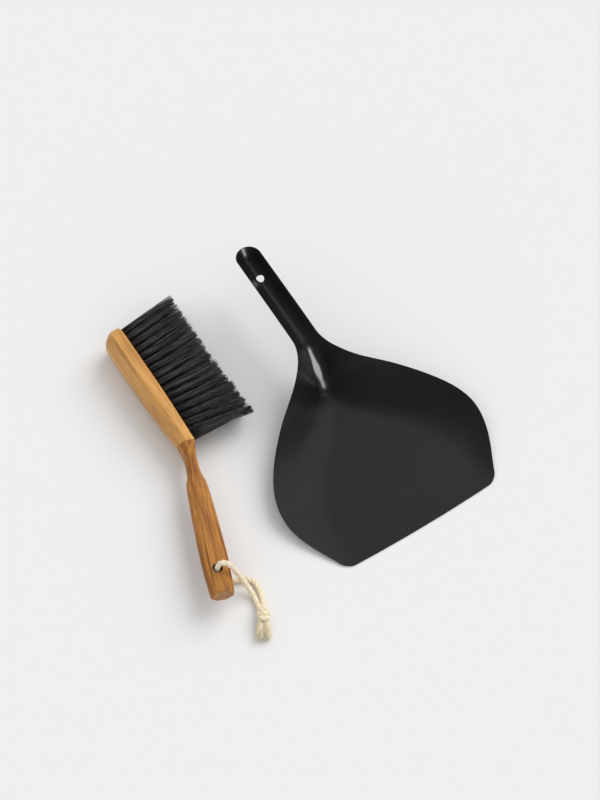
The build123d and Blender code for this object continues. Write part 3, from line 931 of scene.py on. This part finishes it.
# Name, direction towards the light, width in degrees, strength, what it lights
SUNS = [
    ("key", KEY_SOURCE, 42, 1.6, "diffuse"),
    ("sky_fill", (-0.1, -0.1, 1.0), 150, 1.42, "diffuse"),
    ("key_reflection", KEY_SOURCE, 75, 0.85, "gloss"),
    ("ceiling_reflection", (0.3, 0.38, 0.87), 60, 0.08, "gloss"),
    ("front_strip", (0.25, -0.95, 0.2), 12, 2.2, "gloss"),
]
CAMERA_ELEVATION = math.radians(62)
CAMERA_BEARING = math.radians(32.66)
CAMERA_DISTANCE = 1.75
CAMERA_TARGET = Vector((-0.0246, 0.1075, 0))
CAMERA_LENS = 85.05


def make_floor():
    """A plain pale sheet of paper under the set."""
    bpy.ops.mesh.primitive_plane_add(size=30, location=(0, 0, -0.0002))
    floor = bpy.context.object
    floor.name = "studio_floor"
    material, tree, shader = new_material("studio_paper")
    grain = noise(tree, object_coordinates(tree), 900, detail=3)
    colour = ramp_colours(tree, grain, [(0.3, (0.85, 0.848, 0.846)), (0.7, (0.862, 0.86, 0.858))])
    tree.links.new(colour, shader.inputs["Base Color"])
    shader.inputs["Roughness"].default_value = 0.9
    shader.inputs["Specular IOR Level"].default_value = 0.1
    floor.data.materials.append(material)


def soft_sun(name, source, spread, strength, lights):
    """A large soft light far away towards source; spread is its width in degrees.

    It adds to one kind of reflection only: lights is "diffuse" or "gloss"."""
    light = bpy.data.lights.new(name, "SUN")
    light.energy = strength
    light.angle = math.radians(spread)
    lamp = bpy.data.objects.new(name, light)
    lamp.rotation_euler = Vector(source).to_track_quat("Z", "Y").to_euler()
    lamp.visible_diffuse = lights == "diffuse"
    lamp.visible_glossy = lights == "gloss"
    bpy.context.collection.objects.link(lamp)


def make_light():
    """A pale studio: a soft key from the right, a fill from above, and what the black coat mirrors."""
    world = bpy.data.worlds.new("studio")
    world.use_nodes = True
    world.node_tree.nodes["Background"].inputs["Color"].default_value = (1, 1, 1, 1)
    world.node_tree.nodes["Background"].inputs["Strength"].default_value = WORLD_STRENGTH
    bpy.context.scene.world = world
    for sun in SUNS:
        soft_sun(*sun)


def make_camera():
    """The photograph's camera: high above the table, with a long lens."""
    camera = bpy.data.cameras.new("camera")
    camera.sensor_fit = "VERTICAL"
    camera.sensor_height = 36
    camera.lens = CAMERA_LENS
    eye = bpy.data.objects.new("camera", camera)
    back = Vector((
        -math.sin(CAMERA_BEARING) * math.cos(CAMERA_ELEVATION),
        -math.cos(CAMERA_BEARING) * math.cos(CAMERA_ELEVATION),
        math.sin(CAMERA_ELEVATION),
    ))
    eye.location = CAMERA_TARGET + back * CAMERA_DISTANCE
    eye.rotation_euler = (-back).to_track_quat("-Z", "Y").to_euler()
    bpy.context.collection.objects.link(eye)
    bpy.context.scene.camera = eye


# Light, dark and streak colours of each wood
LIGHT_WOOD = ((0.86, 0.485, 0.155), (0.60, 0.29, 0.075), (0.40, 0.17, 0.045))
DARK_WOOD = ((0.74, 0.335, 0.068), (0.27, 0.094, 0.016), (0.13, 0.04, 0.008))
BORED_WOOD = ((0.2, 0.09, 0.03), (0.1, 0.045, 0.015), (0.06, 0.025, 0.01))


def main():
    """Builds every piece, the floor, the light and the camera."""
    coat = powder_coat()
    light_wood = wood("light_wood", 0, *LIGHT_WOOD, 0.42)
    dark_wood = wood("dark_wood", -HANDLE_TURN, *DARK_WOOD, 0.4, 1.3)
    end_grain = wood("bored_wood", -HANDLE_TURN, *BORED_WOOD, 0.6)
    hair_material = hair()
    yarn = cotton()
    make_pan(coat)
    make_head(light_wood)
    make_handle(dark_wood, end_grain)
    make_bristles(hair_material)
    cord, fibres, path = make_cord(yarn)
    knot = make_knot(yarn)
    tails = [make_tail(number, yarn) for number in (1, 2)]
    for node, material in (("handle_dowel", light_wood), ("tuft_anchors", wire())):
        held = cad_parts[node]
        held.data.materials.clear()
        held.data.materials.append(material)
    make_floor()
    make_light()
    make_camera()
    bpy.context.scene.view_settings.view_transform = "Standard"


main()
